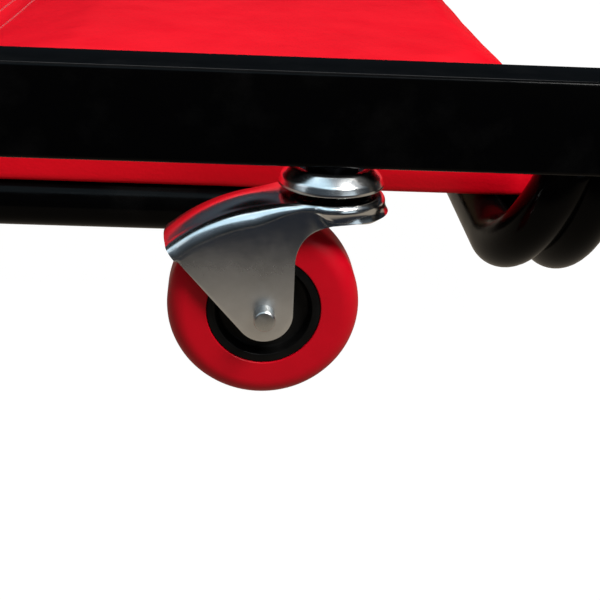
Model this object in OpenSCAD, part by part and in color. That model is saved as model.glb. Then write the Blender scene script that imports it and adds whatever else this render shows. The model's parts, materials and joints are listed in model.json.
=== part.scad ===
// Low-slung mechanics creeper on six swivel casters.
// Millimetres. Origin on the floor under the middle of the creeper,
// +X to the foot end, +Z up.

/* [Wheels] */
// Wheel diameter
wheel_d = 63.5; // [60:0.5:64]
// Wheel width
wheel_w = 23.5; // [20:0.5:24]
// Rounding of the tyre's shoulders
shoulder_r = 6.5; // [3:0.5:8]
// Hub diameter inside the tyre
hub_d = 37.6; // [30:0.2:44]
// Axle diameter
axle_d = 7; // [6:0.5:8]
// Axle length over its ends
axle_l = 42.6; // [36:0.2:46]

/* [Swivels] */
// How far the wheel trails behind the swivel axis
trail = 21; // [18:0.5:24]
// How far each caster has swung outwards from straight ahead, in degrees
toe = 2; // [-10:1:10]
// Outside width of the fork
fork_w = 30.6; // [30:0.1:33]
// Sheet thickness of the fork
sheet_t = 2; // [1.5:0.1:2.5]
// Stem diameter
stem_d = 10; // [9:0.5:10]
// Number of balls in a swivel race
ball_count = 12; // [8:1:14]

/* [Frame] */
// Overall length, over the rails' end plugs
length = 1016; // [960:2:1100]
// Distance between the two rails' centre lines
rail_gap = 508; // [480:2:560]
// Width of a rail
rail_w = 25.4; // [24:0.2:30]
// Height of a rail
rail_h = 30; // [25:1:40]
// Wall of a rail
rail_wall = 1.8; // [1.2:0.1:2.5]
// Height of a rail's underside above the floor
rail_z = 80.5; // [80:0.5:82]
// Distance from the end of the creeper to the first caster's stem
end_to_caster = 120; // [110:1:140]

/* [Bows and hoops] */
// Diameter of the bent tubes that carry the bed
tube_d = 19; // [16:0.5:19]
// Wall of the bent tubes
tube_wall = 1.5; // [1.2:0.1:2]
// Centre-line radius of the bows' bends
bend_r = 38.5; // [38:0.5:41]
// Height of the bows' centre line where they run under the bed
bow_z = 39.3; // [39:0.1:40]
// Height of the hoops' centre line
hoop_z = 40.5; // [40:0.1:40.5]
// Lean of the inner bow of each end pair, in degrees
inner_lean = 21; // [16:1:22]
// Lean of the outer bow of each end pair, in degrees
outer_lean = 11; // [6:1:12]

/* [Bed] */
// Length of the board
bed_l = 964; // [940:2:968]
// Width of the upholstered bed
bed_w = 388; // [360:2:388]
// Thickness of the plywood board
board_t = 10; // [8:1:12]
// Height of the main pad's top above the floor
pad_top = 92; // [85:1:100]
// Height of the head pad's top above the floor
head_top = 116; // [105:1:125]
// Length of the head pad
head_l = 230; // [200:5:260]
// Radius of the pads' edges
pad_r = 12; // [8:1:14]

/* [Hidden] */
$fn = 64;
ends = [-1, 1];
caster_count = 6;
// Swivel axes: three along each rail, near side first
caster_x = [for (i = [-1:1]) i * (length / 2 - end_to_caster)];
rail_y = rail_gap / 2;
function stem_x(k) = caster_x[k % 3];
function side(k) = k < 3 ? -1 : 1;
CASTER_PARTS = ["stem", "cap", "balls", "fork", "axle", "hub", "tyre"];

// Wheel and axle
wheel_r = wheel_d / 2;
bore_clear = 0.06;
hub_face = 11.4;
hub_boss_r = 6.5;
hub_boss_half = 12.9;
dish_r = 15.4;
dish_half = 7;
axle_chamfer = 0.8;

// Fork, drawn from the side with the swivel axis at x = 0
hood_r = 61.2;
hood_x = -14;
hood_z = 8;
hood_edge_r = 5;
axle_eye_r = 9.4;
// From the axle towards where the leg's rear edge leaves the rounded end
eye_tangent = [-0.755, -0.656];
crown_join_x = 3.2;
leg_x = -11.6;
fillet_r = 14.3;
crown_r = 18;
crown_z = 63.7;
crown_top = 69.8;
crown_plate_z = 67.2;
crown_edge_r = 2;
flange_room_r = 9.5;
nose_low = [-49.2, 49.9];
nose_high = [-54, 55.8];

// Swivel race, cap and stem
ball_r = 1.98;
race_r = 12;
race_gap = 0.12;
ball_room = 0.7;
ball_z = crown_top + race_gap + ball_r;
cap_r = 17.2;
cap_rim_z = 72.2;
cap_top = 78.2;
cap_lip = 1.3;
cap_seat_r = 10;
cap_seat_z = 75.9;
cap_seat_chamfer = 1;
// Cap's outer curve from its lip up to its crest: radius and depth below the top
cap_dome = [[16.7, 3.6], [15.9, 2.5], [14.8, 1.3], [13.6, 0.4], [12.4, 0]];
flange_r = 8;
flange_bottom = 63.8;
flange_top = 66.9;
stem_top = rail_z + 23;
stem_clear = 0.06;
nut_af = 16;
weld_nut_h = 8;

// Frame
plug_t = 3;
plug_in = 12;
rail_l = length - 2 * plug_t;
plug_clear = 0.1;
rail_hole_clear = 0.2;
bow_outer_x = 85;
bow_inner_x = 65.7;
bow_mid_x = 76;
bow_gap = 0.1;
bend_y = rail_y - 49;
hoop_r = 50;
hoop_y = rail_y - 70;
hoop_end = caster_x[2] + 5;
tab_y = 120;
tab_l = 26;
tab_w = 24;
tab_t = 2.5;
tab_hole_in = 8;

// Bed
board_z = 50.2;
board_inset = 6;
board_top = board_z + board_t;
pad_gap = 5;
bed_end = bed_l / 2;
head_end = -bed_end + head_l;
screw_r = 2.5;
screw_l = 8;
screw_head_r = 4.6;
screw_head_h = 2.8;
screw_clear = 0.3;

module ring(outer_r, inner_r, z0, z1) {
    translate([0, 0, z0]) difference() {
        cylinder(r = outer_r, h = z1 - z0);
        translate([0, 0, -1]) cylinder(r = inner_r, h = z1 - z0 + 2);
    }
}

module hex_nut(bore_r, z0, z1) {
    translate([0, 0, z0]) difference() {
        cylinder(d = nut_af / cos(30), h = z1 - z0, $fn = 6);
        translate([0, 0, -1]) cylinder(r = bore_r, h = z1 - z0 + 2);
    }
}

// Stands a caster's piece, drawn with its swivel axis on Z and trailing to -X,
// where caster k is. The far side's casters mirror the near side's.
module at_caster(k) {
    translate([stem_x(k), side(k) * rail_y, 0]) rotate([0, 0, -side(k) * toe]) children();
}

// Turns a revolved piece on to the wheel's axle
module on_axle() {
    translate([-trail, 0, wheel_r]) rotate([90, 0, 0]) children();
}

// ---- Caster ----

module tyre_profile() {
    half = wheel_w / 2;
    difference() {
        union() {
            translate([0, -half + shoulder_r]) square([wheel_r, wheel_w - 2 * shoulder_r]);
            translate([0, -half]) square([wheel_r - shoulder_r, wheel_w]);
            for (s = ends)
                translate([wheel_r - shoulder_r, s * (half - shoulder_r)]) circle(r = shoulder_r);
        }
        translate([-1, -wheel_w]) square([hub_d / 2 + 1, 2 * wheel_w]);
    }
}

module tyre(k) color("crimson")
    at_caster(k) on_axle() rotate_extrude() tyre_profile();

module hub(k) color([0.08, 0.08, 0.09])
    at_caster(k) on_axle() rotate_extrude() difference() {
        union() {
            translate([0, -hub_face]) square([hub_d / 2, 2 * hub_face]);
            translate([0, -hub_boss_half]) square([hub_boss_r, 2 * hub_boss_half]);
        }
        translate([-1, -wheel_w]) square([axle_d / 2 + bore_clear + 1, 2 * wheel_w]);
        for (s = ends) translate([hub_boss_r, s > 0 ? dish_half : -wheel_w])
            square([dish_r - hub_boss_r, wheel_w - dish_half]);
    }

module axle(k) color("silver")
    at_caster(k) on_axle() rotate_extrude() polygon([
        [0, -axle_l / 2], [axle_d / 2 - axle_chamfer, -axle_l / 2],
        [axle_d / 2, -axle_l / 2 + axle_chamfer], [axle_d / 2, axle_l / 2 - axle_chamfer],
        [axle_d / 2 - axle_chamfer, axle_l / 2], [0, axle_l / 2]]);

// Half-section of the fork's sheet as if it were spun about the hood's axis
module drum_section(r, half, edge) {
    square([r - edge, half]);
    square([r, half - edge]);
    translate([r - edge, half - edge]) circle(r = edge);
}

module drum(r, half, edge) rotate([90, 0, 0]) rotate_extrude() {
    intersection() {
        union() {
            drum_section(r, half, edge);
            mirror([0, 1]) drum_section(r, half, edge);
        }
        translate([0, -half]) square([r, 2 * half]);
    }
}

// Side view of the sheet: two straight-edged legs under a curved hood
module fork_side() {
    difference() {
        union() {
            translate([-trail, wheel_r]) circle(r = axle_eye_r);
            polygon([
                [-trail, wheel_r],
                [-trail, wheel_r] + axle_eye_r * eye_tangent,
                nose_low, nose_high, [nose_high[0], crown_top + 1], [crown_join_x, crown_top + 1],
                [crown_join_x, crown_z], [leg_x + fillet_r, crown_z - fillet_r],
                [leg_x, crown_z - fillet_r], [leg_x, wheel_r]]);
        }
        translate([leg_x + fillet_r, crown_z - fillet_r]) circle(r = fillet_r);
    }
}

module crown() rotate_extrude() {
    square([crown_r - crown_edge_r, crown_top]);
    square([crown_r, crown_top - crown_edge_r]);
    translate([crown_r - crown_edge_r, crown_top - crown_edge_r]) circle(r = crown_edge_r);
}

module fork(k) color("lightgray") at_caster(k) difference() {
    union() {
        intersection() {
            translate([hood_x, 0, hood_z]) difference() {
                drum(hood_r, fork_w / 2, hood_edge_r);
                drum(hood_r - sheet_t, fork_w / 2 - sheet_t, hood_edge_r - sheet_t);
            }
            translate([0, fork_w / 2, 0]) rotate([90, 0, 0])
                linear_extrude(height = fork_w) fork_side();
        }
        difference() {
            crown();
            translate([0, 0, -1]) cylinder(r = crown_r + 1, h = crown_z + 1);
            ring_room();
        }
    }
    translate([0, 0, crown_z - 1]) cylinder(r = flange_room_r, h = crown_plate_z - crown_z + 1);
    cylinder(r = stem_d / 2 + stem_clear, h = crown_top + 1);
    on_axle() cylinder(d = axle_d, h = fork_w + 2, center = true);
}

// Hollow under the crown, inside its skirt
module ring_room() {
    translate([0, 0, crown_z - 1])
        cylinder(r = crown_r - sheet_t, h = crown_plate_z - crown_z + 1);
}

module balls(k) color("gray") at_caster(k)
    for (i = [0:ball_count - 1]) rotate([0, 0, i * 360 / ball_count])
        translate([race_r, 0, ball_z]) sphere(r = ball_r);

// Domed upper race, with a sunk seat for the nut above and room for the balls below
module cap(k) color("gainsboro") at_caster(k) difference() {
    rotate_extrude() polygon(concat(
        [[0, cap_rim_z], [cap_r, cap_rim_z], [cap_r, cap_rim_z + cap_lip]],
        [for (point = cap_dome) [point[0], cap_top - point[1]]],
        [[cap_seat_r + cap_seat_chamfer, cap_top], [cap_seat_r, cap_top - cap_seat_chamfer],
         [cap_seat_r, cap_seat_z], [0, cap_seat_z]]));
    translate([0, 0, cap_rim_z - 1])
        ring(race_r + ball_r + ball_room, race_r - ball_r - ball_room, 0,
             ball_z + ball_r + race_gap - cap_rim_z + 1);
    cylinder(d = stem_d, h = cap_seat_z + 1);
}

module stem(k) color("silver") at_caster(k) {
    translate([0, 0, flange_bottom]) cylinder(r = flange_r, h = flange_top - flange_bottom);
    translate([0, 0, flange_top - 1]) cylinder(d = stem_d, h = stem_top - flange_top + 1);
}

// ---- Frame ----

module rail(s) color([0.05, 0.05, 0.06]) difference() {
    translate([-rail_l / 2, s * rail_y - rail_w / 2, rail_z]) cube([rail_l, rail_w, rail_h]);
    translate([-length, s * rail_y - rail_w / 2 + rail_wall, rail_z + rail_wall])
        cube([2 * length, rail_w - 2 * rail_wall, rail_h - 2 * rail_wall]);
    for (x = caster_x) translate([x, s * rail_y, rail_z - 1])
        cylinder(r = stem_d / 2 + rail_hole_clear, h = rail_wall + 2);
}

module rail_left() rail(-1);
module rail_right() rail(1);

module rail_plugs() color([0.12, 0.12, 0.12]) {
    inset = rail_wall + plug_clear;
    for (x = ends, y = ends) translate([x * rail_l / 2, y * rail_y, rail_z]) {
        translate([x > 0 ? 0 : -plug_t, -rail_w / 2, 0]) cube([plug_t, rail_w, rail_h]);
        translate([x > 0 ? -plug_in : -1, -rail_w / 2 + inset, inset])
            cube([plug_in + 1, rail_w - 2 * inset, rail_h - 2 * inset]);
    }
}

module weld_nuts() color("dimgray")
    for (x = caster_x, y = ends) translate([x, y * rail_y, 0])
        hex_nut(stem_d / 2, rail_z + rail_wall, rail_z + rail_wall + weld_nut_h);

module jam_nuts() color([0.15, 0.15, 0.15])
    for (x = caster_x, y = ends) translate([x, y * rail_y, 0])
        hex_nut(stem_d / 2, cap_seat_z, rail_z);

// Centre line under the bed with a quarter bend up to each rail
module bow_rod(d) {
    rotate([90, 0, 0]) cylinder(d = d, h = 2 * bend_y, center = true);
    for (s = ends) translate([0, s * bend_y, bend_r]) rotate([s > 0 ? 0 : 180, 90, 0])
        rotate_extrude(angle = 90) translate([bend_r, 0]) circle(d = d);
}

module bow_at(x, lean, d) translate([x, 0, bow_z]) rotate([0, lean, 0]) bow_rod(d);

module above_rails() translate([-length, -length, rail_z]) cube([2 * length, 2 * length, length]);

module bow(x, lean) difference() {
    bow_at(x, lean, tube_d);
    bow_at(x, lean, tube_d - 2 * tube_wall);
    above_rails();
}

// Screw lugs welded to a bow's side under the board: dir is the side they stand on
module tabs(x, dir) for (y = ends) translate([x, y * tab_y, board_z - tab_t]) difference() {
    translate([dir > 0 ? 0 : -tab_l, -tab_w / 2, 0]) cube([tab_l, tab_w, tab_t]);
    translate([dir > 0 ? -tab_l : 0, -tab_w, -tab_t])
        cube([tab_l + 1, 2 * tab_w, 3 * tab_t]);
    translate([dir * (tab_l - tab_hole_in), 0, -1]) cylinder(r = screw_r + screw_clear, h = tab_t + 2);
}

module tabbed_bow(x, dir) {
    difference() {
        union() {
            bow_at(x, 0, tube_d);
            tabs(x, dir);
        }
        bow_at(x, 0, tube_d - 2 * tube_wall);
        above_rails();
    }
}

module outer_bow(s) color([0.05, 0.05, 0.06])
    bow(s * (caster_x[2] + bow_outer_x), s * outer_lean);

// The inner bow leans further than the outer one and is cut to fit against it
module inner_bow(s) color([0.05, 0.05, 0.06]) difference() {
    bow(s * (caster_x[2] + bow_inner_x), s * inner_lean);
    bow_at(s * (caster_x[2] + bow_outer_x), s * outer_lean, tube_d + 2 * bow_gap);
}

module bow_foot_outer() outer_bow(1);
module bow_foot_inner() inner_bow(1);
module bow_mid_foot() color([0.05, 0.05, 0.06]) tabbed_bow(bow_mid_x, -1);
module bow_mid_head() color([0.05, 0.05, 0.06]) tabbed_bow(-bow_mid_x, 1);
module bow_head_inner() inner_bow(-1);
module bow_head_outer() outer_bow(-1);

// U of tube in plan, from the middle bow out towards the end and back
module hoop_rod(d) {
    start = bow_mid_x + tube_d / 2;
    straight = hoop_end - hoop_r - start;
    for (s = ends) {
        translate([start, s * hoop_y, hoop_z]) rotate([0, 90, 0]) cylinder(d = d, h = straight);
        translate([hoop_end - hoop_r, s * (hoop_y - hoop_r), hoop_z]) rotate([0, 0, s > 0 ? 0 : -90])
            rotate_extrude(angle = 90) translate([hoop_r, 0]) circle(d = d);
    }
    translate([hoop_end, 0, hoop_z]) rotate([90, 0, 0])
        cylinder(d = d, h = 2 * (hoop_y - hoop_r), center = true);
}

module hoop() color([0.05, 0.05, 0.06]) difference() {
    hoop_rod(tube_d);
    hoop_rod(tube_d - 2 * tube_wall);
}

module hoop_foot() hoop();
module hoop_head() mirror([1, 0, 0]) hoop();

// ---- Bed ----

module screw_places()
    for (x = ends, y = ends) translate([x * (bow_mid_x - tab_l + tab_hole_in), y * tab_y, board_z - tab_t])
        children();

module board_screws() color("dimgray") screw_places() {
    translate([0, 0, -screw_head_h]) cylinder(r = screw_head_r, h = screw_head_h);
    translate([0, 0, -1]) cylinder(r = screw_r, h = tab_t + screw_l + 1);
}

module board_blank() translate([-bed_end + board_inset, -bed_w / 2 + board_inset, board_z])
    cube([bed_l - 2 * board_inset, bed_w - 2 * board_inset, board_t]);

module board() color("burlywood") difference() {
    board_blank();
    screw_places() cylinder(r = screw_r, h = tab_t + screw_l);
}

// Cushion with rounded upright and top edges, from x0 to x1 and up to z1
module cushion(x0, x1, z1) {
    r = pad_r;
    h = z1 - board_z - r;
    half = bed_w / 2 - r;
    translate([x0 + r, -half, board_z]) cube([x1 - x0 - 2 * r, 2 * half, h + r]);
    translate([x0, -half, board_z]) cube([x1 - x0, 2 * half, h]);
    translate([x0 + r, -half - r, board_z]) cube([x1 - x0 - 2 * r, 2 * half + 2 * r, h]);
    for (y = ends) translate([x0 + r, y * half, board_z + h]) rotate([0, 90, 0])
        cylinder(r = r, h = x1 - x0 - 2 * r);
    for (x = [x0 + r, x1 - r]) {
        translate([x, 0, board_z + h]) rotate([90, 0, 0])
            cylinder(r = r, h = 2 * half, center = true);
        for (y = ends) translate([x, y * half, board_z]) {
            cylinder(r = r, h = h);
            translate([0, 0, h]) sphere(r = r);
        }
    }
}

module main_pad() color("red") difference() {
    cushion(head_end + pad_gap, bed_end, pad_top);
    board_blank();
}

module head_pad() color("red") difference() {
    cushion(-bed_end, head_end, head_top);
    board_blank();
}

rail_left();
rail_right();
rail_plugs();
weld_nuts();
jam_nuts();
bow_foot_outer();
bow_foot_inner();
bow_mid_foot();
bow_mid_head();
bow_head_inner();
bow_head_outer();
hoop_foot();
hoop_head();
board();
board_screws();
main_pad();
head_pad();
for (k = [1:caster_count]) {
    stem(k - 1);
    cap(k - 1);
    balls(k - 1);
    fork(k - 1);
    axle(k - 1);
    hub(k - 1);
    tyre(k - 1);
}
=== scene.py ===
import json
import math

import bmesh
import bpy
from mathutils import Matrix, Vector, noise
from mathutils.bvhtree import BVHTree


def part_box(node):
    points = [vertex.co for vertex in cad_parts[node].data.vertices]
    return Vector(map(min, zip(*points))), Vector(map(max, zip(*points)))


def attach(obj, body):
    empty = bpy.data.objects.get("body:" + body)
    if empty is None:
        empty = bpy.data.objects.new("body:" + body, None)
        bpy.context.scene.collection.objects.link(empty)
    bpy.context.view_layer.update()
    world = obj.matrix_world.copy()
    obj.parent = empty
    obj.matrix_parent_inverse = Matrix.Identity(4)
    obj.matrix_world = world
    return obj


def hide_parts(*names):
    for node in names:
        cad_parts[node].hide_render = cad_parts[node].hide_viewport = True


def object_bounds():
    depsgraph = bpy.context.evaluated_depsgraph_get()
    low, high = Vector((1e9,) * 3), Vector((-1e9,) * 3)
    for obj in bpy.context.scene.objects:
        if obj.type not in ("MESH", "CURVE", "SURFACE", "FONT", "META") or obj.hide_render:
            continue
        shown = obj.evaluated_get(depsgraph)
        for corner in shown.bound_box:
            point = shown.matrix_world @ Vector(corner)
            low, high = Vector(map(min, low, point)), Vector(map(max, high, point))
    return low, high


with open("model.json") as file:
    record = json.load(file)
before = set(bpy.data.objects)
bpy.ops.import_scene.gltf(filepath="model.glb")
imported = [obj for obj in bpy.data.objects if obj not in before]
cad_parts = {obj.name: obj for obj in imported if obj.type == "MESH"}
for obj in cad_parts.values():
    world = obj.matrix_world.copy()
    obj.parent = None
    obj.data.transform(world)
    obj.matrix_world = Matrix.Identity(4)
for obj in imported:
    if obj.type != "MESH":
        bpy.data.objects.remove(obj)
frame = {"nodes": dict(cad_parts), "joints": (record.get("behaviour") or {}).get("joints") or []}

CAD_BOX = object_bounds()
MM = 0.001
SIDES = (-1, 1)
CASTERS = range(1, 7)
NODES = frame["nodes"]
JOINTS = {joint["name"]: joint for joint in frame["joints"]}


def cad_box(node):
    """Lowest and highest corner of a CAD node, in millimetres."""
    low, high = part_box(node)
    return Vector(low) / MM, Vector(high) / MM


# ---- Camera, floor and light ----

def make_camera():
    """Close view of the near foot caster from the side, a little above."""
    stem_low, stem_high = cad_box("stem_3")
    stem = (stem_low + stem_high) / 2
    aside, back, height = 24.5, 373.2, 184.2
    place = Vector((stem.x - aside, stem.y - back, height)) * MM
    pitch, yaw, roll = 0.3896, 0.0434, 0.0448
    forward = Vector((math.sin(yaw) * math.cos(pitch), math.cos(yaw) * math.cos(pitch),
                      -math.sin(pitch)))
    right = Vector((math.cos(yaw), -math.sin(yaw), 0))
    up = right.cross(forward)
    rolled_right = math.cos(roll) * right + math.sin(roll) * up
    rolled_up = -math.sin(roll) * right + math.cos(roll) * up
    data = bpy.data.cameras.new("camera")
    data.lens = 71.8
    data.sensor_width = 36
    data.clip_start = 0.01
    data.clip_end = 50
    camera = bpy.data.objects.new("camera", data)
    turn = Matrix((rolled_right, rolled_up, -forward)).transposed()
    camera.matrix_world = Matrix.Translation(place) @ turn.to_4x4()
    bpy.context.scene.collection.objects.link(camera)
    bpy.context.scene.camera = camera


def make_sheet(name, low, high, height, finish):
    """Flat stage piece between two corners."""
    mesh = bpy.data.meshes.new(name)
    mesh.from_pydata([(low[0], low[1], height), (high[0], low[1], height),
                      (high[0], high[1], height), (low[0], high[1], height)], [], [(0, 1, 2, 3)])
    mesh.materials.append(finish)
    sheet = bpy.data.objects.new(name, mesh)
    bpy.context.scene.collection.objects.link(sheet)
    return sheet


def make_floor():
    """Self-lit white floor for the camera, and two sheets that only other rays see.

    One is a dimmer warm floor, and the other a dark card that only reflections show."""
    half, apart = 12, 0.0005
    white = material("floor", (0.03, 0.03, 0.03), roughness=0.8, Specular_IOR_Level=0.0,
                     Emission_Color=(1, 1, 1, 1), Emission_Strength=1.0)
    floor = make_sheet("floor", (-half, -half), (half, half), 0, white)
    floor.visible_diffuse = False
    floor.visible_glossy = False
    glow, tint = 0.33, (1.0, 0.86, 0.69)
    warm = material("bounce", (0, 0, 0), roughness=1.0, Specular_IOR_Level=0.0,
                    Emission_Color=(*tint, 1), Emission_Strength=glow)
    bounce = make_sheet("bounce", (-half, -half), (half, half), -apart, warm)
    bounce.visible_camera = False
    gap, depth, half_width, fade = 0.06, 2.5, 3.0, 0.07
    edge = CAD_BOX[0].y - gap
    dark = material("dark_card", (0, 0, 0), roughness=1.0, Specular_IOR_Level=0.0,
                    Emission_Strength=glow)
    nodes = Nodes(dark)
    towards_edge = nodes.between(nodes.axis("Y"), edge - fade, edge)
    nodes.link(nodes.mixed(towards_edge, (0.05, 0.06, 0.08), tint),
               nodes.shader.inputs["Emission Color"])
    card = make_sheet("dark_card", (-half_width, edge - depth), (half_width, edge), apart, dark)
    card.visible_camera = False
    card.visible_diffuse = False
    card.visible_shadow = False


def area_light(name, place, target, size, power, colour):
    data = bpy.data.lights.new(name, "AREA")
    data.shape = "RECTANGLE"
    data.size, data.size_y = size
    data.energy = power
    data.color = colour
    lamp = bpy.data.objects.new(name, data)
    lamp.location = place
    lamp.rotation_euler = (target - place).to_track_quat("-Z", "Y").to_euler()
    bpy.context.scene.collection.objects.link(lamp)


def make_light():
    """Softboxes overhead and at the sides, and a sky that darkens towards the horizon.

    The camera sees the sky at one even strength."""
    world = bpy.data.worlds.new("studio")
    world.use_nodes = True
    bpy.context.scene.world = world
    tree = world.node_tree
    sky = tree.nodes["Background"]
    sky.inputs["Color"].default_value = (0.6, 0.8, 1.0, 1)
    place = tree.nodes.new("ShaderNodeTexCoord")
    parts = tree.nodes.new("ShaderNodeSeparateXYZ")
    tree.links.new(place.outputs["Generated"], parts.inputs["Vector"])
    rise = tree.nodes.new("ShaderNodeMapRange")
    for socket, number in (("From Min", 0.25), ("From Max", 0.75), ("To Min", 0.02),
                           ("To Max", 0.14)):
        rise.inputs[socket].default_value = number
    seen_strength = 0.95
    tree.links.new(parts.outputs["Z"], rise.inputs["Value"])
    seen = tree.nodes.new("ShaderNodeLightPath")
    choice = tree.nodes.new("ShaderNodeMix")
    choice.inputs[3].default_value = seen_strength
    tree.links.new(seen.outputs["Is Camera Ray"], choice.inputs[0])
    tree.links.new(rise.outputs["Result"], choice.inputs[2])
    tree.links.new(choice.outputs[0], sky.inputs["Strength"])
    foot = cad_box("stem_3")[1] * MM
    # Name, place from the target, target, size, power in watts, colour
    middle, floor = Vector((0, 0, 0.05)), Vector((0, 0, 0))
    lamps = (
        ("over_front", (-0.4, -0.45, 1.12), foot, (1.8, 0.7), 4.4, (0.62, 0.86, 1.0)),
        ("spot", (-0.2, -0.6, 1.0), foot, (0.1, 0.16), 0.06, (0.85, 0.95, 1.0)),
        ("spot", (0.12, -0.6, 1.0), foot, (0.1, 0.16), 0.06, (0.85, 0.95, 1.0)),
        ("front_right", (1.0, -1.0, 1.7), foot, (0.8, 0.8), 75, (1.0, 0.98, 0.95)),
        ("low_right", (0.9, -1.2, 0.35), foot, (0.8, 0.5), 1.1, (0.75, 0.9, 1.0)),
        ("left", (-2.2, -0.6, 1.55), middle, (2.0, 1.2), 8, (0.8, 0.92, 1.0)),
        ("back", (0.4, 2.0, 2.35), middle, (1.8, 0.7), 10, (1, 1, 1)),
        ("top", (0, 0, 2.6), floor, (1.6, 1.0), 4, (1, 1, 1)))
    for name, offset, target, size, power, colour in lamps:
        area_light(name, target + Vector(offset), target, size, power, colour)


# ---- Materials ----

def material(name, colour, roughness=0.5, metallic=0.0, **sockets):
    """A Principled material. Constants go on the shader's own sockets."""
    made = bpy.data.materials.new(name)
    made.use_nodes = True
    shader = made.node_tree.nodes["Principled BSDF"]
    shader.inputs["Base Color"].default_value = (*colour, 1)
    shader.inputs["Roughness"].default_value = roughness
    shader.inputs["Metallic"].default_value = metallic
    for socket, value in sockets.items():
        shader.inputs[socket.replace("_", " ")].default_value = value
    return made


class Nodes:
    """Short way to add and join a material's nodes."""

    def __init__(self, made):
        self.tree = made.node_tree
        self.shader = self.tree.nodes["Principled BSDF"]
        self.place = self.tree.nodes.new("ShaderNodeTexCoord").outputs["Object"]

    def link(self, output, socket):
        self.tree.links.new(output, socket)

    def colour(self, output):
        self.link(output, self.shader.inputs["Base Color"])

    def roughness(self, output):
        self.link(output, self.shader.inputs["Roughness"])

    def normal(self, output):
        self.link(output, self.shader.inputs["Normal"])

    def scaled(self, stretch):
        node = self.tree.nodes.new("ShaderNodeMapping")
        node.inputs["Scale"].default_value = stretch
        self.link(self.place, node.inputs["Vector"])
        return node.outputs["Vector"]

    def axis(self, letter):
        node = self.tree.nodes.new("ShaderNodeSeparateXYZ")
        self.link(self.place, node.inputs["Vector"])
        return node.outputs[letter]

    def from_axis(self):
        """Distance from the piece's own Z axis."""
        node = self.tree.nodes.new("ShaderNodeVectorMath")
        node.operation = "LENGTH"
        self.link(self.scaled((1, 1, 0)), node.inputs[0])
        return node.outputs["Value"]

    def maths(self, operation, first, second):
        node = self.tree.nodes.new("ShaderNodeMath")
        node.operation = operation
        self.link(first, node.inputs[0])
        self.link(second, node.inputs[1])
        return node.outputs[0]

    def noise(self, scale, detail=4, roughness=0.5, stretch=(1, 1, 1)):
        node = self.tree.nodes.new("ShaderNodeTexNoise")
        node.inputs["Scale"].default_value = scale
        node.inputs["Detail"].default_value = detail
        node.inputs["Roughness"].default_value = roughness
        self.link(self.scaled(stretch), node.inputs["Vector"])
        return node.outputs["Fac"]

    def cells(self, scale, feature="F1"):
        node = self.tree.nodes.new("ShaderNodeTexVoronoi")
        node.feature = feature
        node.inputs["Scale"].default_value = scale
        self.link(self.scaled((1, 1, 1)), node.inputs["Vector"])
        return node.outputs["Distance"]

    def between(self, value, low, high, out_low=0.0, out_high=1.0):
        node = self.tree.nodes.new("ShaderNodeMapRange")
        for socket, number in (("From Min", low), ("From Max", high), ("To Min", out_low),
                               ("To Max", out_high)):
            node.inputs[socket].default_value = number
        self.link(value, node.inputs["Value"])
        return node.outputs["Result"]

    def mixed(self, factor, first, second):
        """Blend of two colours, each an (r, g, b) or another node's output."""
        node = self.tree.nodes.new("ShaderNodeMix")
        node.data_type = "RGBA"
        for socket, value in ((node.inputs[6], first), (node.inputs[7], second)):
            if isinstance(value, tuple):
                socket.default_value = (*value, 1)
            else:
                self.link(value, socket)
        self.link(factor, node.inputs[0])
        return node.outputs[2]

    def bump(self, height, strength, distance, after=None):
        node = self.tree.nodes.new("ShaderNodeBump")
        node.inputs["Strength"].default_value = strength
        node.inputs["Distance"].default_value = distance
        self.link(height, node.inputs["Height"])
        if after is not None:
            self.link(after, node.inputs["Normal"])
        return node.outputs["Normal"]


def black_paint():
    """Glossy stoved enamel with a little orange peel and a trace of dust."""
    made = material("black_paint", (0.0015, 0.0015, 0.0015), roughness=0.16,
                    Specular_IOR_Level=0.07)
    nodes = Nodes(made)
    nodes.colour(nodes.mixed(nodes.between(nodes.noise(34, 6, 0.6), 0.5, 0.75),
                             (0.0008, 0.0008, 0.0009), (0.0035, 0.0034, 0.0034)))
    nodes.roughness(nodes.between(nodes.noise(90, 5), 0.3, 0.7, 0.12, 0.24))
    peel = nodes.bump(nodes.noise(620, 2), 0.05, 0.0003)
    nodes.normal(nodes.bump(nodes.noise(70, 3), 0.04, 0.001, peel))
    return made


def bright_plate(name, roughest, smoothest, split_low, split_high, gap_shade):
    """Bright plated steel that goes from one roughness to the other between two heights.

    The last argument is the room round the stem, as a radius and two heights, that is painted
    black: painted shade in the gap between the cap and the crown.
    Heights and radii are in metres."""
    made = material(name, (0.78, 0.79, 0.79), roughness=0.2, metallic=1.0)
    nodes = Nodes(made)
    cloud = nodes.noise(55, 6, 0.6)
    plate = nodes.mixed(nodes.between(cloud, 0.35, 0.7), (0.68, 0.69, 0.69), (0.84, 0.85, 0.86))
    # Painted shade: inside a cylinder round the stem the plate turns near black, for the shaded gap
    # between the cap and the crown.
    reach, low, high = gap_shade
    soft = 0.0004
    height = nodes.axis("Z")
    inside = nodes.between(nodes.from_axis(), reach - soft, reach + soft, 1.0, 0.0)
    above = nodes.between(height, low - soft, low + soft)
    below = nodes.between(height, high - soft, high + soft, 1.0, 0.0)
    black = nodes.maths("MULTIPLY", inside, nodes.maths("MULTIPLY", above, below))
    nodes.colour(nodes.mixed(black, plate, (0.004, 0.004, 0.004)))
    polish = nodes.between(height, split_low, split_high, roughest, smoothest)
    cloudy = nodes.between(nodes.noise(240, 5, 0.65), 0.3, 0.75, -0.02, 0.04)
    nodes.roughness(nodes.maths("ADD", polish, cloudy))
    ripple = nodes.bump(nodes.noise(150, 4, 0.55), 0.03, 0.0005)
    nodes.normal(nodes.bump(nodes.noise(420, 3, 0.6, (1, 1, 0.3)), 0.02, 0.0003, ripple))
    return made


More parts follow.
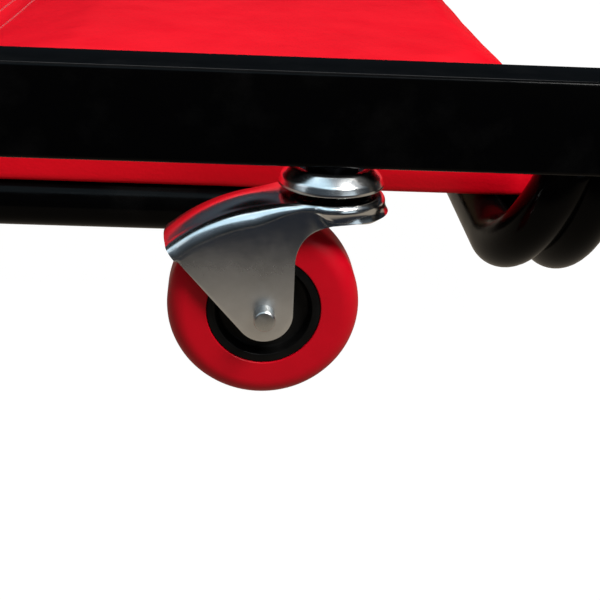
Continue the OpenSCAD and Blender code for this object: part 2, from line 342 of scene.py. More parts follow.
def steel(name, colour, roughness):
    """Plain plated or bare steel, a little cloudy and finely grained."""
    made = material(name, colour, roughness=roughness, metallic=1.0)
    nodes = Nodes(made)
    dark = tuple(0.72 * c for c in colour)
    nodes.colour(nodes.mixed(nodes.between(nodes.noise(160, 6, 0.6), 0.35, 0.7), dark, colour))
    nodes.roughness(nodes.between(nodes.noise(380, 5, 0.6), 0.3, 0.7,
                                  roughness - 0.06, roughness + 0.1))
    nodes.normal(nodes.bump(nodes.noise(1300, 3, 0.6), 0.08, 0.0003))
    return made


def red_tyre():
    """Cast polyurethane: smooth, with a faint mould bloom."""
    made = material("red_tyre", (0.55, 0.004, 0.012), roughness=0.36, Specular_IOR_Level=0.16)
    nodes = Nodes(made)
    nodes.colour(nodes.mixed(nodes.between(nodes.noise(60, 5, 0.6), 0.3, 0.75),
                             (0.50, 0.001, 0.010), (0.43, 0.001, 0.008)))
    nodes.roughness(nodes.between(nodes.noise(180, 5, 0.6), 0.3, 0.7, 0.30, 0.44))
    fine = nodes.bump(nodes.noise(1500, 3), 0.05, 0.0002)
    nodes.normal(nodes.bump(nodes.noise(90, 3), 0.05, 0.0008, fine))
    return made


def black_plastic(name, roughness):
    """Moulded plastic with a fine spark-eroded grain."""
    made = material(name, (0.004, 0.004, 0.004), roughness=roughness,
                    Specular_IOR_Level=0.12)
    nodes = Nodes(made)
    nodes.colour(nodes.mixed(nodes.between(nodes.noise(120, 5), 0.4, 0.75),
                             (0.002, 0.002, 0.002), (0.005, 0.005, 0.005)))
    nodes.roughness(nodes.between(nodes.noise(300, 4), 0.3, 0.7, roughness - 0.06, roughness + 0.1))
    nodes.normal(nodes.bump(nodes.cells(1800), 0.06, 0.0002))
    return made


def red_vinyl():
    """Upholstery vinyl: pebble grain, soft creases and a slightly uneven gloss."""
    made = material("red_vinyl", (0.76, 0.002, 0.012), roughness=0.4, Specular_IOR_Level=0.12)
    nodes = Nodes(made)
    nodes.colour(nodes.mixed(nodes.between(nodes.noise(16, 6, 0.6), 0.32, 0.72),
                             (0.80, 0.002, 0.013), (0.70, 0.001, 0.010)))
    nodes.roughness(nodes.between(nodes.noise(42, 6, 0.6), 0.3, 0.72, 0.34, 0.5))
    crease = nodes.bump(nodes.noise(28, 5, 0.55, (1, 1, 1.6)), 0.22, 0.0022)
    pebble = nodes.bump(nodes.cells(950, feature="SMOOTH_F1"), 0.16, 0.0003, crease)
    nodes.normal(nodes.bump(nodes.noise(2400, 2), 0.05, 0.0001, pebble))
    return made


def thread():
    """Sewing thread: a little darker than the vinyl and slightly fuzzy."""
    made = material("red_thread", (0.42, 0.006, 0.012), roughness=0.7, Sheen_Weight=0.3)
    nodes = Nodes(made)
    nodes.colour(nodes.mixed(nodes.between(nodes.noise(900, 3), 0.35, 0.65),
                             (0.36, 0.004, 0.009), (0.52, 0.010, 0.018)))
    nodes.normal(nodes.bump(nodes.noise(3200, 2, 0.5, (1, 1, 0.3)), 0.3, 0.0002))
    return made


def plywood():
    """Long grain with dark flecks, the same on the faces and the edges."""
    made = material("plywood", (0.52, 0.36, 0.2), roughness=0.65)
    nodes = Nodes(made)
    grain = nodes.noise(70, 8, 0.65, (0.06, 1, 1))
    flecks = nodes.noise(420, 4, 0.6, (0.12, 1, 1))
    base = nodes.mixed(nodes.between(grain, 0.3, 0.7), (0.40, 0.25, 0.13), (0.66, 0.48, 0.30))
    nodes.colour(nodes.mixed(nodes.between(flecks, 0.56, 0.7), base, (0.25, 0.14, 0.07)))
    nodes.roughness(nodes.between(grain, 0.3, 0.7, 0.55, 0.75))
    nodes.normal(nodes.bump(flecks, 0.25, 0.0004))
    return made


# ---- Mesh helpers ----

def place_mesh(name, verts, faces, sharp=35):
    mesh = bpy.data.meshes.new(name)
    mesh.from_pydata([tuple(v) for v in verts], [], faces)
    work = bmesh.new()
    work.from_mesh(mesh)
    bmesh.ops.remove_doubles(work, verts=work.verts, dist=1e-6)
    bmesh.ops.recalc_face_normals(work, faces=work.faces)
    work.to_mesh(mesh)
    work.free()
    mesh.shade_smooth()
    mesh.set_sharp_from_angle(angle=math.radians(sharp))
    made = bpy.data.objects.new(name, mesh)
    bpy.context.scene.collection.objects.link(made)
    return made


def filleted(corners, steps=6):
    """Closed outline through (x, y, radius) corners, each rounded by an arc."""
    points = []
    count = len(corners)
    for i, (x, y, radius) in enumerate(corners):
        here = Vector((x, y))
        if radius <= 0:
            points.append(here)
            continue
        back = (Vector(corners[i - 1][:2]) - here).normalized()
        ahead = (Vector(corners[(i + 1) % count][:2]) - here).normalized()
        half = back.angle(ahead) / 2
        run = radius / math.tan(half)
        centre = here + (back + ahead).normalized() * radius / math.sin(half)
        start, end = here + back * run - centre, here + ahead * run - centre
        swing = start.angle_signed(end)
        for s in range(steps + 1):
            turn = Matrix.Rotation(-swing * s / steps, 2)
            points.append(centre + turn @ start)
    return points


def loft(name, rings, loop=False, sharp=35):
    """Joins rings of points, in millimetres, into one skin, and closes its two ends."""
    count, ring = len(rings), len(rings[0])
    verts = [Vector(point) * MM for points in rings for point in points]
    faces = []
    for i in range(count if loop else count - 1):
        a, b = i * ring, (i + 1) % count * ring
        faces += [(a + j, a + (j + 1) % ring, b + (j + 1) % ring, b + j) for j in range(ring)]
    if not loop:
        faces += [tuple(reversed(range(ring))), tuple(range((count - 1) * ring, count * ring))]
    return place_mesh(name, verts, faces, sharp)


def revolve(name, outline, steps=96, sharp=35):
    """Lathes a closed (radius, height) outline about Z."""
    angles = [2 * math.pi * i / steps for i in range(steps)]
    rings = [[(r * math.cos(a), r * math.sin(a), z) for r, z in outline] for a in angles]
    return loft(name, rings, loop=True, sharp=sharp)


def sweep(name, section, path, closed=False, sharp=35, swell=None):
    """Carries a closed section along a path in millimetres without twisting it."""
    path = [Vector(p) for p in path]
    count = len(path)
    rings, tangents = [], []
    for i in range(count):
        before = path[i - 1] if (i or closed) else path[i]
        after = path[(i + 1) % count] if (i < count - 1 or closed) else path[i]
        tangents.append((after - before).normalized())
    side = tangents[0].orthogonal().normalized()
    for i, (point, along) in enumerate(zip(path, tangents)):
        if i:
            side = (tangents[i - 1].rotation_difference(along) @ side).normalized()
        side = (side - side.dot(along) * along).normalized()
        over = along.cross(side)
        grow = swell(i) if swell else 1
        rings.append([point + grow * (u * side + v * over) for u, v in section])
    return loft(name, rings, loop=closed, sharp=sharp)


def circle(radius, steps=40):
    return [(radius * math.cos(2 * math.pi * i / steps), radius * math.sin(2 * math.pi * i / steps))
            for i in range(steps)]


def rounded_rect(width, height, radius, steps=6):
    w, h = width / 2, height / 2
    return filleted([(-w, -h, radius), (w, -h, radius), (w, h, radius), (-w, h, radius)], steps)


def arc(centre, radius, start, end, steps):
    """Points on an arc, angles in degrees."""
    points = []
    for i in range(steps + 1):
        a = math.radians(start + (end - start) * i / steps)
        points.append((centre[0] + radius * math.cos(a), centre[1] + radius * math.sin(a)))
    return points


def cut_above(obj, height):
    """Removes what is above a height in millimetres and closes the cut."""
    work = bmesh.new()
    work.from_mesh(obj.data)
    cut = bmesh.ops.bisect_plane(work, geom=work.verts[:] + work.edges[:] + work.faces[:],
                                 plane_co=(0, 0, height * MM), plane_no=(0, 0, 1),
                                 clear_outer=True)
    edges = [e for e in cut["geom_cut"] if isinstance(e, bmesh.types.BMEdge)]
    bmesh.ops.holes_fill(work, edges=edges)
    work.to_mesh(obj.data)
    work.free()


def finish_piece(piece, look, body, slot, *nodes):
    """Gives a piece its material and body and hides the CAD nodes that it stands for. The slot
    argument is not used.
    """
    piece.data.materials.append(look)
    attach(piece, body)
    if nodes:
        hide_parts(*nodes)
    return piece


def smooth(low, high, value):
    t = min(1, max(0, (value - low) / (high - low)))
    return t * t * (3 - 2 * t)


# ---- Caster, drawn in millimetres with its stem on Z and trailing to -X ----

WHEEL_R, TRAIL = 31.75, 21.0
HOOD_R, HOOD_C = 61.2, (-14.0, 8.0)
LEG_Y, SHEET = 15.3, 2.0
CROWN_TOP, SKIRT_Z, CROWN_R = 69.8, 63.7, 18.0
NOSE_LOW, NOSE_X = (-49.2, 49.9), -54.0


def hood_point(x):
    """Point on the fork's top line at x, and the line's outward normal there."""
    cx, cz = HOOD_C
    if x < cx:
        z = cz + math.sqrt(HOOD_R ** 2 - (x - cx) ** 2)
        return Vector((x, 0, z)), Vector((x - cx, 0, z - cz)).normalized()
    low = cz + HOOD_R
    return Vector((x, 0, low + (CROWN_TOP - low) * smooth(cx, -4, x))), Vector((0, 0, 1))


def half_width(x):
    """The fork seen from above is straight-sided, then swells into the round crown."""
    round_y = math.sqrt(max(0, CROWN_R ** 2 - min(x, 0) ** 2))
    return LEG_Y + (round_y - LEG_Y) * smooth(-13, -1, x)


def leg_outline():
    """Lower edge of the near leg from the nose to the skirt: (x, z, x of the top above it)."""
    eye_r, leg_x, fillet_r, fillet_share = 9.4, -11.6, 14.3, 0.93
    nose_top, eye_top, leg_top, fillet_top, crown_top = NOSE_X, -34, -16, -12, -6
    nose_steps, eye_steps, leg_steps, fillet_steps = 12, 24, 8, 14
    points = []
    start = math.radians(221)
    eye_start = (-TRAIL + eye_r * math.cos(start), WHEEL_R + eye_r * math.sin(start))
    for i in range(nose_steps):
        t = i / nose_steps
        points.append((NOSE_LOW[0] + (eye_start[0] - NOSE_LOW[0]) * t,
                       NOSE_LOW[1] + (eye_start[1] - NOSE_LOW[1]) * t,
                       nose_top + (eye_top - nose_top) * t))
    for i in range(eye_steps):
        t = i / eye_steps
        a = start + (2 * math.pi - start) * t
        points.append((-TRAIL + eye_r * math.cos(a), WHEEL_R + eye_r * math.sin(a),
                       eye_top + (leg_top - eye_top) * t))
    for i in range(leg_steps):
        t = i / leg_steps
        points.append((leg_x, WHEEL_R + (SKIRT_Z - fillet_r - WHEEL_R) * t,
                       leg_top + (fillet_top - leg_top) * t))
    for i in range(fillet_steps + 1):
        t = i / fillet_steps
        a = math.pi - t * math.pi / 2 * fillet_share
        points.append((leg_x + fillet_r + fillet_r * math.cos(a),
                       SKIRT_Z - fillet_r + fillet_r * math.sin(a),
                       fillet_top + (crown_top - fillet_top) * t))
    return points


def column(low, centre, out, normal, edge, inner, flare=0):
    """One cross-section: up the wall, round the fold and over to the inner point."""
    wall, fold, deck = 12, 10, 8
    foot = centre + edge * out
    points = [low.lerp(foot, i / wall) + flare * (1 - i / wall) ** 2 * out for i in range(wall)]
    for i in range(fold + 1):
        a = math.pi / 2 * i / fold
        points.append(centre + edge * (math.cos(a) * out + math.sin(a) * normal))
    shoulder = points[-1]
    rise = (inner - shoulder).dot(normal)
    for i in range(1, deck + 1):
        t = i / deck
        points.append(shoulder.lerp(inner, t) + rise * (math.sin(math.pi / 2 * t) - t) * normal)
    return points


def fork_half():
    """Columns of points up the near side and over the top, from the nose to the front tip.

    The fold between wall and top is rounder on the hood than on the crown."""
    crown_fold, hood_fold, hood_drop, room = 2.6, 3.2, 1.3, 0.3
    columns = []
    for px, pz, x in leg_outline():
        top, normal = hood_point(x)
        hood = 1 - smooth(-26, -9, x)
        low = Vector((px, -half_width(px), pz))
        edge = min(crown_fold + hood_fold * hood,
                   (top - low).dot(normal) - hood_drop * hood - room)
        centre = top - (edge + hood_drop * hood) * normal - Vector((0, half_width(x) - edge, 0))
        columns.append(column(low, centre, Vector((0, -1, 0)), normal, edge, top))
    last_x, last_z, _ = leg_outline()[-1]
    steps, lip_z, bell, hole_r = 26, 64.0, 1.1, 5.2
    start = math.atan2(half_width(last_x), last_x)
    over_start = math.atan2(half_width(-6), -6)
    for i in range(1, steps + 1):
        t = i / steps
        turn = start * (1 - t)
        out = Vector((math.cos(turn), -math.sin(turn), 0))
        height = last_z + (lip_z - last_z) * smooth(0, 0.3, t)
        flare = bell * smooth(0, 0.5, t)
        low = out * CROWN_R + Vector((0, 0, height))
        over = over_start * (1 - t)
        spread = Vector((math.cos(over), -math.sin(over), 0))
        centre = spread * (CROWN_R - crown_fold) + Vector((0, 0, CROWN_TOP - crown_fold))
        rim = math.pi * (1 - t)
        hole = Vector((hole_r * math.cos(rim), -hole_r * math.sin(rim), CROWN_TOP))
        columns.append(column(low, centre, spread, Vector((0, 0, 1)), crown_fold, hole, flare))
    return columns


def fork_mesh():
    columns = fork_half()
    rows = len(columns[0])
    verts, faces = [], []
    for side in (1, -1):
        base = len(verts)
        for points in columns:
            verts += [Vector((p.x, p.y * side, p.z)) * MM for p in points]
        for i in range(len(columns) - 1):
            a, b = base + i * rows, base + (i + 1) * rows
            for j in range(rows - 1):
                quad = (a + j, b + j, b + j + 1, a + j + 1)
                faces.append(quad if side > 0 else quad[::-1])
    fork = place_mesh("fork", verts, faces, sharp=40)
    thick = fork.modifiers.new("sheet", "SOLIDIFY")
    thick.thickness = SHEET * MM
    thick.offset = -1
    thick.use_even_offset = True
    soft = fork.modifiers.new("edges", "BEVEL")
    soft.width = 0.45 * MM
    soft.segments = 3
    soft.limit_method = "ANGLE"
    soft.angle_limit = math.radians(50)
    return fork


def on_axle(obj):
    """Turns a piece revolved about Z on to the wheel's axle."""
    to_axle = Matrix.Translation(Vector((-TRAIL, 0, WHEEL_R)) * MM)
    obj.data.transform(to_axle @ Matrix.Rotation(math.pi / 2, 4, "X"))
    return obj


def tyre_mesh():
    hub_r, half, shoulder = 18.8, 11.75, 6.5
    outline = filleted([(hub_r, -half, 0.4), (WHEEL_R, -half, shoulder), (WHEEL_R, half, shoulder),
                        (hub_r, half, 0.4)], steps=10)
    return on_axle(revolve("tyre", outline, steps=128, sharp=60))


def hub_mesh():
    """Spool with a raised rim, a sunk dish and a boss."""
    rim_r, lip_r, dish_r, boss_r = 18.76, 15.9, 15.0, 6.5
    face, dish, boss, bore = 11.35, 7.0, 12.7, 3.56
    half = [(bore, boss, 0.2), (boss_r, boss, 0.5), (boss_r + 0.4, dish, 1.2), (dish_r, dish, 1.2),
            (lip_r, face, 0.5), (rim_r, face, 0.5)]
    outline = half + [(r, -z, f) for r, z, f in reversed(half)]
    return on_axle(revolve("hub", filleted(outline, steps=4), steps=112, sharp=50))


def axle_mesh():
    radius, half = 3.5, 21.3
    ends = [(0.01, half, 0), (radius, half, 0.7)]
    outline = ends + [(r, -z, f) for r, z, f in reversed(ends)]
    return on_axle(revolve("axle", filleted(outline, steps=4), steps=48, sharp=50))


def cap_mesh():
    """Domed race: rolled rim, convex crown and a sunk seat for the nut."""
    outside = [(5.02, 75.9, 0), (9.6, 75.9, 0.8), (10.9, 78.2, 0.9), (13.3, 78.2, 2.0),
               (16.4, 75.2, 3.0), (17.2, 73.2, 0.3), (17.2, 72.2, 0.4)]
    inside = [(15.4, 72.2, 0.3), (14.9, 74.0, 0.5), (5.02, 74.0, 0)]
    return revolve("cap", filleted(outside + inside, steps=6), steps=112, sharp=50)


def nut_mesh(across_flats, low, high):
    """Hex nut with corners turned off top and bottom and a round washer face below."""
    corner_r = across_flats / 2 / math.cos(math.pi / 6)
    chamfer, steps = 0.9, 12
    washer_r, washer_h, bore = across_flats / 2 + 0.6, 0.7, 5.0
    angles = [2 * math.pi * i / (6 * steps) for i in range(6 * steps)]

    def ring(limit, z):
        points = []
        for a in angles:
            flat = across_flats / 2 / math.cos((a + math.pi / 6) % (math.pi / 3) - math.pi / 6)
            r = min(flat, limit)
            points.append((r * math.cos(a), r * math.sin(a), z))
        return points

    rings = [ring(bore, low), ring(washer_r, low), ring(washer_r, low + washer_h * 0.8),
             ring(across_flats / 2 - 0.1, low + washer_h), ring(corner_r, low + washer_h + 0.4),
             ring(corner_r, high - chamfer), ring(across_flats / 2, high), ring(bore, high)]
    return loft("nut", rings, loop=True, sharp=25)


def caster_matrix(k):
    """Where caster k stands: on its swivel axis, with its own +Y along the wheel's axle."""
    stem = JOINTS[f"swivel_{k}"]["pos_m"]
    across = Vector(JOINTS[f"roll_{k}"]["axis"])
    along = Vector((across.y, -across.x, 0))
    turn = Matrix((along, across, (0, 0, 1))).transposed()
    return Matrix.Translation((stem[0], stem[1], 0)) @ turn.to_4x4()


def make_casters():
    # The last tuple is painted shade: the crown's top under the cap goes near black round the stem.
    plate = bright_plate("bright_plate", 0.3, 0.16, 0.042, 0.064, (0.0166, 0.0660, 0.0702))
    patterns = [(fork_mesh(), plate, "caster", "bright_chrome"),
                (axle_mesh(), steel("axle_zinc", (0.68, 0.69, 0.68), 0.3), "caster",
                 "zinc_hardware"),
                (hub_mesh(), black_plastic("hub_plastic", 0.36), "wheel", "hub_plastic"),
                (tyre_mesh(), red_tyre(), "wheel", "red_tyre"),
                (cap_mesh(),
                 # The last tuple is painted shade: the cap's underside over the crown goes near
                 # black round the stem.
                 bright_plate("cap_plate", 0.24, 0.2, 0.070, 0.074, (0.0164, 0.0715, 0.0745)),
                 "frame", "bright_chrome")]
    for pattern, look, body, slot in patterns:
        pattern.data.materials.append(look)
        for k in CASTERS:
            piece = pattern.copy()
            piece.name = f"{pattern.name}_piece_{k}"
            bpy.context.scene.collection.objects.link(piece)
            piece.matrix_world = caster_matrix(k)
            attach(piece, body if body == "frame" else f"{body}_{k}")
            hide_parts(f"{pattern.name}_{k}")
        bpy.data.objects.remove(pattern)


def make_nuts():
    across_flats, seat_z = 16.0, 75.95
    pattern = nut_mesh(across_flats, seat_z, cad_box("jam_nuts")[1].z)
    pattern.data.materials.append(steel("black_oxide", (0.05, 0.05, 0.055), 0.3))
    for k in CASTERS:
        piece = pattern.copy()
        piece.name = f"jam_nut_{k}"
        bpy.context.scene.collection.objects.link(piece)
        piece.matrix_world = caster_matrix(k)
        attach(piece, "frame")
        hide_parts("jam_nuts")
    bpy.data.objects.remove(pattern)


# ---- Frame ----

TUBE_R = 9.5
BEND_R = 38.5
INNER_LEAN, OUTER_LEAN = 21, 11


def make_rails(paint):
    corner = 1.6
    for node in ("rail_left", "rail_right"):
        low, high = cad_box(node)
        middle = (low + high) / 2
        section = rounded_rect(high.y - low.y, high.z - low.z, corner)
        rings = [[(x, middle.y + u, middle.z + v) for u, v in section] for x in (low.x, high.x)]
        finish_piece(loft(f"{node}_tube", rings), paint, "frame", "frame_paint", node)


def make_plugs():
    """Four pressed-in caps with a soft edge and a slightly domed face."""
    look = black_plastic("plug_plastic", 0.42)
    corner = 1.6
    rail_low, rail_high = cad_box("rail_right")
    width, height = rail_high.y - rail_low.y, rail_high.z - rail_low.z
    middle = (rail_low + rail_high) / 2
    profile = [(0, 0), (0.0, 2.0), (0.25, 2.5), (0.9, 2.85), (4, 3.0)]
    for end in SIDES:
        for side in SIDES:
            rings = []
            for inset, out in profile:
                section = rounded_rect(width - 2 * inset, height - 2 * inset, corner)
                x = rail_high.x + out
                rings.append([(end * x, side * middle.y + u, middle.z + v) for u, v in section])
            name = f"plug_{'foot' if end > 0 else 'head'}_{'far' if side > 0 else 'near'}"
            finish_piece(loft(name, rings, sharp=60), look, "frame", "plug_plastic", "rail_plugs")


def bow_point(x, lean, across, height, bow_z):
    """A point of a bow's own upright plane, leaned about the run under the bed."""
    tilt = math.radians(lean)
    return Vector((x + height * math.sin(tilt), across, bow_z + height * math.cos(tilt)))


def bow_path(x, lean, bow_z, bend_y):
    """Up one riser, down the bend, under the bed and up again on the other side."""
    top = 60
    plane = [(-bend_y - BEND_R, top)]
    plane += [(-bend_y + u, v) for u, v in arc((0, BEND_R), BEND_R, 180, 270, 28)]
    plane += [(bend_y + u, v) for u, v in arc((0, BEND_R), BEND_R, 270, 360, 28)]
    plane.append((bend_y + BEND_R, top))
    return [bow_point(x, lean, across, height, bow_z) for across, height in plane]


def bead(name, path, radius, paint):
    """Weld bead: a ring of overlapping ripples along a closed path."""
    made = sweep(name, circle(radius, 10), path, closed=True, sharp=60,
                 swell=lambda i: 1 + 0.18 * math.sin(i * 1.9) + 0.12 * math.sin(i * 0.7))
    return finish_piece(made, paint, "frame", "frame_paint")


def make_bows(paint):
    rail_z = cad_box("rail_right")[0].z
    foot_low, foot_high = cad_box("bow_foot_outer")
    bow_z = foot_low.z + TUBE_R
    bend_y = foot_high.y - TUBE_R - BEND_R
    bead_steps, bead_r, bead_out, bead_drop = 56, 1.3, 0.3, 0.9
    for node, lean in (("bow_foot_outer", OUTER_LEAN), ("bow_foot_inner", INNER_LEAN),
                       ("bow_mid_foot", 0), ("bow_mid_head", 0),
                       ("bow_head_inner", -INNER_LEAN), ("bow_head_outer", -OUTER_LEAN)):
        low, high = cad_box(node)
        if lean > 0:
            x = low.x + TUBE_R
        elif lean < 0:
            x = high.x - TUBE_R
        else:
            x = high.x - TUBE_R if high.x > 0 else low.x + TUBE_R
        tube = sweep(f"{node}_tube", circle(TUBE_R), bow_path(x, lean, bow_z, bend_y))
        cut_above(tube, rail_z)
        finish_piece(tube, paint, "frame", "frame_paint", node)
        tilt = math.radians(lean)
        centre_x = x + (rail_z - bow_z) * math.tan(tilt)
        for side in SIDES:
            ring = []
            for i in range(bead_steps):
                a = 2 * math.pi * i / bead_steps
                ring.append((centre_x + (TUBE_R + bead_out) / math.cos(tilt) * math.cos(a),
                             side * (bend_y + BEND_R) + (TUBE_R + bead_out) * math.sin(a),
                             rail_z - bead_drop))
            bead(f"{node}_weld_{'far' if side > 0 else 'near'}", ring, bead_r, paint)
    make_lugs(paint)


def make_lugs(paint):
    """Screw lugs on the middle bows, with rounded outer corners."""
    off_middle, half, thick, gap, corner, in_tube = 120, 12, 2.5, 0.02, 8, 6
    board_z = cad_box("board")[0].z
    for node, side in (("bow_mid_foot", -1), ("bow_mid_head", 1)):
        low, high = cad_box(node)
        root = high.x - TUBE_R if side < 0 else low.x + TUBE_R
        tip = low.x if side < 0 else high.x
        for across in SIDES:
            start = root + side * in_tube
            outline = filleted([(start, -half, 0), (tip, -half, corner), (tip, half, corner),
                                (start, half, 0)])
            rings = [[(x, across * off_middle + y, board_z - drop) for x, y in outline]
                     for drop in (gap, thick)]
            name = f"{node}_lug_{'far' if across > 0 else 'near'}"
            finish_piece(loft(name, rings), paint, "frame", "frame_paint")


def make_hoops(paint):
    bend, steps = 50, 20
    bead_steps, bead_r, bead_out, bead_in = 48, 1.2, 0.2, 0.9
    for node, way in (("hoop_foot", 1), ("hoop_head", -1)):
        low, high = cad_box(node)
        z = (low.z + high.z) / 2
        start = low.x if way > 0 else -high.x
        end = (high.x if way > 0 else -low.x) - TUBE_R
        half = high.y - TUBE_R
        plan = [(start, -half)]
        plan += arc((end - bend, -half + bend), bend, 270, 360, steps)
        plan += arc((end - bend, half - bend), bend, 0, 90, steps)
        plan.append((start, half))
        path = [(way * x, y, z) for x, y in plan]
        tube = sweep(f"{node}_tube", circle(TUBE_R), path)
        finish_piece(tube, paint, "frame", "frame_paint", node)
        for side in SIDES:
            ring = [(way * (start + bead_in), side * half + u, z + v)
                    for u, v in circle(TUBE_R + bead_out, bead_steps)]
            bead(f"{node}_weld_{'far' if side > 0 else 'near'}", ring, bead_r, paint)


# ---- Upholstery ----

PAD_STEPS = 9
SEAM_DEPTH, SEAM_HALF, SEAM_REACH = 5.0, 7.0, 8
SEWN_REACH, SEWN_HALF = 12, 3


def pad_blank(name, low, high, edge):
    """Block with a tight lower edge and a round upper one, remeshed into even faces."""
    middle, size = (low + high) / 2, high - low
    corner, under, steps, voxel = 9, 3.5, 6, 5.0
    profile = [(p[0], low.z + under + p[1]) for p in arc((under, 0), under, 270, 180, steps)]
    profile += [(p[0], high.z - edge + p[1]) for p in arc((edge, 0), edge, 180, 90, 2 * steps)]
    rings = []
    for inset, z in profile:
        section = rounded_rect(size.x - 2 * inset, size.y - 2 * inset, corner)
        rings.append([(middle.x + u, middle.y + v, z) for u, v in section])
    pad = loft(name, rings)
    even = pad.modifiers.new("even", "REMESH")
    even.mode = "VOXEL"
    even.voxel_size = voxel * MM
    bake_modifiers(pad)
    return pad


def bake_modifiers(obj):
    """Makes the modifiers' result the object's own mesh."""
    bpy.context.view_layer.update()
    shaped = obj.evaluated_get(bpy.context.evaluated_depsgraph_get())
    mesh = bpy.data.meshes.new_from_object(shaped)
    obj.modifiers.clear()
    obj.data = mesh


def press_seams(pad, seams, top):
    """Pulls the pad's top down along its sewn lines, across its whole width."""
    for vert in pad.data.vertices:
        p = vert.co / MM
        if p.z > top - SEAM_REACH:
            p.z -= sum(SEAM_DEPTH * math.exp(-((p.x - seam) / SEAM_HALF) ** 2) for seam in seams)
            vert.co = p * MM


def inflate(pad, held_below, seams, top, most):
    """Blows the pad up as cloth, held along its underside and its sewn lines, up to a limit."""
    start = [vert.co.copy() for vert in pad.data.vertices]

    def sewn(co):
        near = any(abs(co.x / MM - seam) < SEWN_HALF for seam in seams)
        return co.z > (top - SEWN_REACH) * MM and near

    still = [i for i, co in enumerate(start) if co.z < held_below * MM or sewn(co)]
    held = pad.vertex_groups.new(name="held")
    held.add(still, 1.0, "REPLACE")
    cloth = pad.modifiers.new("cloth", "CLOTH")
    settings = cloth.settings
    settings.quality = 6
    settings.mass = 0.3
    settings.tension_stiffness = 20
    settings.compression_stiffness = 20
    settings.shear_stiffness = 8
    settings.bending_stiffness = 1.5
    settings.use_pressure = True
    settings.uniform_pressure_force = 4
    settings.vertex_group_mass = "held"
    settings.effector_weights.gravity = 0
    cloth.collision_settings.use_collision = False
    scene = bpy.context.scene
    for step in range(1, PAD_STEPS + 1):
        scene.frame_set(step)
    shaped = pad.evaluated_get(bpy.context.evaluated_depsgraph_get())
    moved = [vert.co.copy() for vert in shaped.data.vertices]
    pad.modifiers.clear()
    scene.frame_set(1)
    for vert, before, after in zip(pad.data.vertices, start, moved):
        step = after - before
        if step.length > most * MM:
            step *= most * MM / step.length
        vert.co = before + step


def pleat(p, low, high):
    """Draws a point in towards the pad's middle along three folds at each upright corner.

    The head pad's two corners beside the main pad have no folds, as both its ends are at -X."""
    inset, reach, widest, deepest = 20, 45, 44, 1.6
    folds, fold_half = (-27, 0, 27), 4.5
    for cx in (low.x, high.x):
        for cy in (low.y, high.y):
            arm = Vector((p.x - (cx + (inset if cx < 0 else -inset)),
                          p.y - (cy + (inset if cy == low.y else -inset))))
            out = Vector((-1 if cx == low.x else 1, -1 if cy == low.y else 1))
            if arm.dot(out) <= 0 or arm.length > reach:
                continue
            swing = math.degrees(out.angle(arm, 0))
            if swing > widest:
                continue
            angle = swing if out.cross(arm) > 0 else -swing
            fold = sum(math.exp(-((angle - at) / fold_half) ** 2) for at in folds)
            fade = (1 - smooth(low.z + 6, high.z - 2, p.z)) * smooth(8, 16, arm.length)
            pull = deepest * fold * fade
            p.x -= out.x * pull
            p.y -= out.y * pull


def dress(pad, low, high, spill):
    """Corner pleats and small creases, and nothing far past the CAD box."""
    side_crease, top_wave, below = 1.1, 0.8, 0.15
    for vert in pad.data.vertices:
        p = vert.co / MM
        lift = smooth(low.z + 2, low.z + 16, p.z)
        top = smooth(high.z - 18, high.z - 4, p.z)
        inward = Vector(((low.x + high.x) / 2 - p.x, (low.y + high.y) / 2 - p.y, 0))
        pleat(p, low, high)
        crease = noise.noise(Vector((p.x / 34, p.y / 34, p.z / 14)))
        p += inward.normalized() * crease * side_crease * lift * (1 - top)
        p.z += noise.noise(Vector((p.x / 60, p.y / 60, 3))) * top_wave * top
        for axis in range(3):
            room = below if axis == 2 else spill
            p[axis] = min(max(p[axis], low[axis] - room), high[axis] + spill)
        vert.co = p * MM


def hollow_underside(pad, board_low, board_high):
    """Lets the board show below: lifts the pad's underside inside the board's outline."""
    margin, reach, lifted = 20, 5, 4
    for vert in pad.data.vertices:
        p = vert.co / MM
        inside = (board_low.x + margin < p.x < board_high.x - margin
                  and board_low.y + margin < p.y < board_high.y - margin)
        if p.z < board_low.z + reach and inside:
            p.z = board_low.z + lifted
            vert.co = p * MM


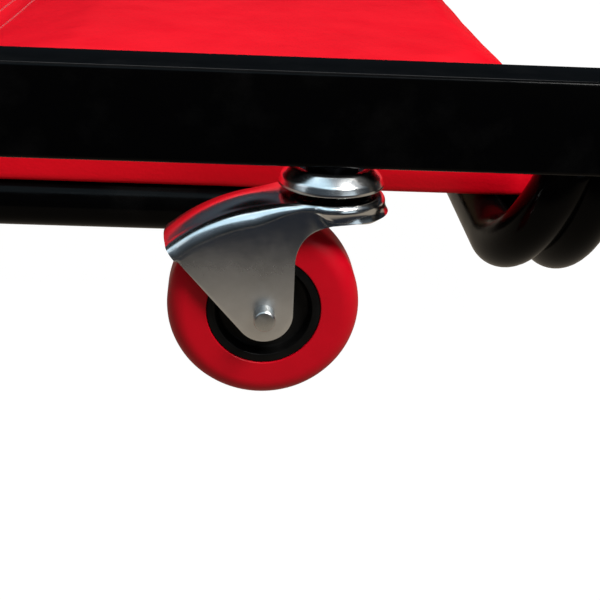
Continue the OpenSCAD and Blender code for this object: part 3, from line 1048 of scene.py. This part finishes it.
def stitch_line(name, pad, seam, look, half, top):
    """Two rows of short stitches that follow the pad's skin along a channel."""
    tree = BVHTree.FromPolygons([v.co for v in pad.data.vertices],
                                [tuple(f.vertices) for f in pad.data.polygons])
    pitch, reach, rows, above = 5.2, 1.7, (-5.5, 5.5), 30
    lifts, radii, ring = (-0.15, 0.22, -0.15), (0.28, 0.42, 0.28), 8
    verts, faces = [], []
    for row in rows:
        for i in range(int(2 * half / pitch)):
            y = -half + pitch * (i + 0.5)
            ends = []
            for dy in (-reach, 0, reach):
                origin = Vector((seam + row, y + dy, top + above)) * MM
                hit = tree.ray_cast(origin, Vector((0, 0, -1)))[0]
                if hit is None:
                    break
                ends.append(hit)
            if len(ends) < 3:
                continue
            base = len(verts)
            for point, lift, radius in zip(ends, lifts, radii):
                for j in range(ring):
                    a = 2 * math.pi * j / ring
                    verts.append(point + Vector((radius * math.cos(a), 0,
                                                 lift + radius * math.sin(a))) * MM)
            for r in range(2):
                a, b = base + r * ring, base + (r + 1) * ring
                faces += [(a + j, a + (j + 1) % ring, b + (j + 1) % ring, b + j)
                          for j in range(ring)]
            faces.append(tuple(reversed(range(base, base + ring))))
            faces.append(tuple(range(base + 2 * ring, base + 3 * ring)))
    made = place_mesh(name, verts, faces, sharp=60)
    return finish_piece(made, look, "frame", "red_vinyl")


def make_pad(node, vinyl, sewing, seams, inset, edge):
    held_up_to, most_swell, spill, stitch_margin = 7, 9, 2.0, 16
    low, high = cad_box(node)
    board_low, board_high = cad_box("board")
    shrink = Vector((inset, inset, 0))
    blank_low = Vector((low.x, low.y, low.z - 2)) + shrink
    blank_high = high - shrink - Vector((0, 0, inset + 1.0))
    pad = pad_blank(f"{node}_cushion", blank_low, blank_high, edge)
    press_seams(pad, seams, blank_high.z)
    inflate(pad, low.z + held_up_to, seams, blank_high.z, most_swell)
    hollow_underside(pad, board_low, board_high)
    dress(pad, low, high, spill)
    finer = pad.modifiers.new("finer", "SUBSURF")
    finer.levels = finer.render_levels = 1
    bake_modifiers(pad)
    pad.data.shade_smooth()
    finish_piece(pad, vinyl, "frame", "red_vinyl", node)
    for i, seam in enumerate(seams):
        half = (high.y - low.y) / 2 - stitch_margin
        stitch_line(f"{node}_stitches_{i + 1}", pad, seam, sewing, half, high.z)


def make_bed():
    vinyl, sewing = red_vinyl(), thread()
    low, high = cad_box("main_pad")
    third = (high.x - low.x) / 3
    inset = 3.0
    make_pad("main_pad", vinyl, sewing, (low.x + third, low.x + 2 * third), inset, edge=12)
    make_pad("head_pad", vinyl, sewing, (), inset, edge=16)


# ---- CAD nodes that keep their own shape ----

def dress_cad():
    zinc = steel("zinc_hardware", (0.62, 0.62, 0.6), 0.34)
    looks = {"board": plywood(), "board_screws": zinc, "weld_nuts": zinc}
    ball_look = steel("bearing_steel", (0.6, 0.6, 0.62), 0.16)
    for k in CASTERS:
        looks[f"stem_{k}"] = zinc
        looks[f"balls_{k}"] = ball_look
    for node, look in looks.items():
        NODES[node].data.materials.clear()
        NODES[node].data.materials.append(look)


bpy.context.scene.view_settings.view_transform = "Standard"
make_camera()
make_floor()
make_light()
frame_paint = black_paint()
make_rails(frame_paint)
make_plugs()
make_bows(frame_paint)
make_hoops(frame_paint)
make_casters()
make_nuts()
make_bed()
dress_cad()
